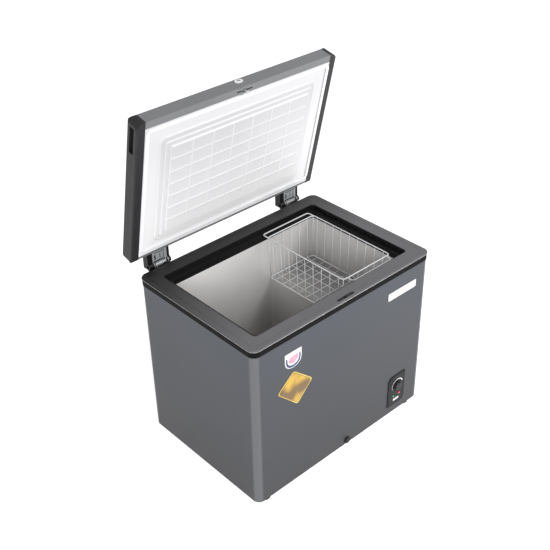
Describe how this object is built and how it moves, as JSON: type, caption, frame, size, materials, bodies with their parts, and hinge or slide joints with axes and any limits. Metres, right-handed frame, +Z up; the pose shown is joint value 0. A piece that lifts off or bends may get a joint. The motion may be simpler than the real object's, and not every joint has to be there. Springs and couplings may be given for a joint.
{
  "type": "chest freezer",
  "caption": "Chest freezer with a hinged lid standing open, a stepped liner over the compressor bay and a lift-out wire basket.",
  "frame": {"origin": "on the floor, at the middle of the whole outline with the lid standing open", "axes": "+X to the right seen from the front, -Y out of the front panel, +Z up"},
  "size_m": [0.948, 0.7432, 1.4207],
  "materials": {
    "grey_steel": "semi-gloss grey paint",
    "lid_steel": "semi-gloss grey paint",
    "frame_grey": "satin grey moulding",
    "dark_plastic": "dark grey moulding",
    "black_plastic": "black moulding",
    "white_plastic": "white vacuum-formed sheet",
    "gasket_white": "soft white seal",
    "liner_aluminium": "stucco aluminium sheet",
    "zinc_steel": "zinc plated",
    "black_steel": "black paint",
    "white_wire": "white plastic-coated wire",
    "foam": "rigid foam",
    "copper": "copper tube",
    "chrome": "chrome plate",
    "rubber_black": "black rubber",
    "green_lens": "clear green",
    "red_lens": "clear red"
  },
  "bodies": {
    "cabinet": {"cabinet_shell": "grey_steel", "base_pan": "zinc_steel", "foam": "foam", "inner_liner": "liner_aluminium", "evaporator": "copper", "condenser": "black_steel", "top_frame": "frame_grey", "breaker_strip": "black_plastic", "trim_band": "black_plastic", "bay_partition": "zinc_steel", "rear_cover": "grey_steel", "side_grille": "black_plastic", "compressor": "black_steel", "compressor_plate": "black_steel", "grommets": "rubber_black", "start_relay": "black_plastic", "filter_drier": "copper", "pipework": "copper", "cord_gland": "rubber_black", "control_panel": "black_plastic", "thermostat_body": "zinc_steel", "green_lamp": "green_lens", "red_lamp": "red_lens", "drain_spout": "white_plastic", "feet": "black_plastic", "foot_studs": "zinc_steel", "hinge_base_left": "black_steel", "hinge_base_right": "black_steel", "hinge_pins": "zinc_steel", "hinge_springs": "zinc_steel", "hinge_screws": "zinc_steel"},
    "lid": {"lid_skin": "lid_steel", "lid_foam": "foam", "lid_liner": "white_plastic", "lid_gasket": "gasket_white", "lid_cap_left": "dark_plastic", "lid_cap_right": "dark_plastic", "lock_bezel": "chrome", "lock_case": "dark_plastic", "hinge_leaf_left": "zinc_steel", "hinge_leaf_right": "zinc_steel", "hinge_cover_left": "black_plastic", "hinge_cover_right": "black_plastic"},
    "lock_cylinder": {"lock_cylinder": "chrome"},
    "lock_hook": {"lock_hook": "zinc_steel"},
    "dial": {"thermostat_dial": "dark_plastic"},
    "basket": {"basket": "white_wire"},
    "drain_plug": {"drain_plug": "black_plastic"}
  },
  "joints": [
    {"name": "lid_hinge", "type": "hinge", "parent": "cabinet", "child": "lid", "pos_m": [0, 0.31739, 0.746], "axis": [-1, 0, 0], "range_deg": [-77, 8], "deforming": ["hinge_springs"]},
    {"name": "lock_turn", "type": "hinge", "parent": "lid", "child": "lock_cylinder", "pos_m": [0.002, 0.21449, 1.40063], "axis": [0, 0.225, -0.9744], "range_deg": [-90, 0]},
    {"name": "lock_slide", "type": "slide", "parent": "lid", "child": "lock_hook", "axis": [-1, 0, 0], "range_m": [-0.01727, 0.0003]},
    {"name": "thermostat_turn", "type": "hinge", "parent": "cabinet", "child": "dial", "pos_m": [0.316, -0.35762, 0.157], "axis": [0, -1, 0], "range_deg": [0, 270]},
    {"name": "basket_lift", "type": "slide", "parent": "cabinet", "child": "basket", "axis": [0, 0, 1], "range_m": [0, 0.26]},
    {"name": "drain_plug_pull", "type": "slide", "parent": "cabinet", "child": "drain_plug", "axis": [0, -1, 0], "range_m": [0, 0.03]}
  ],
  "couplings": [
    {"joint": "lock_slide", "follows": "lock_turn", "m_per_rad": 0.010804}
  ]
}
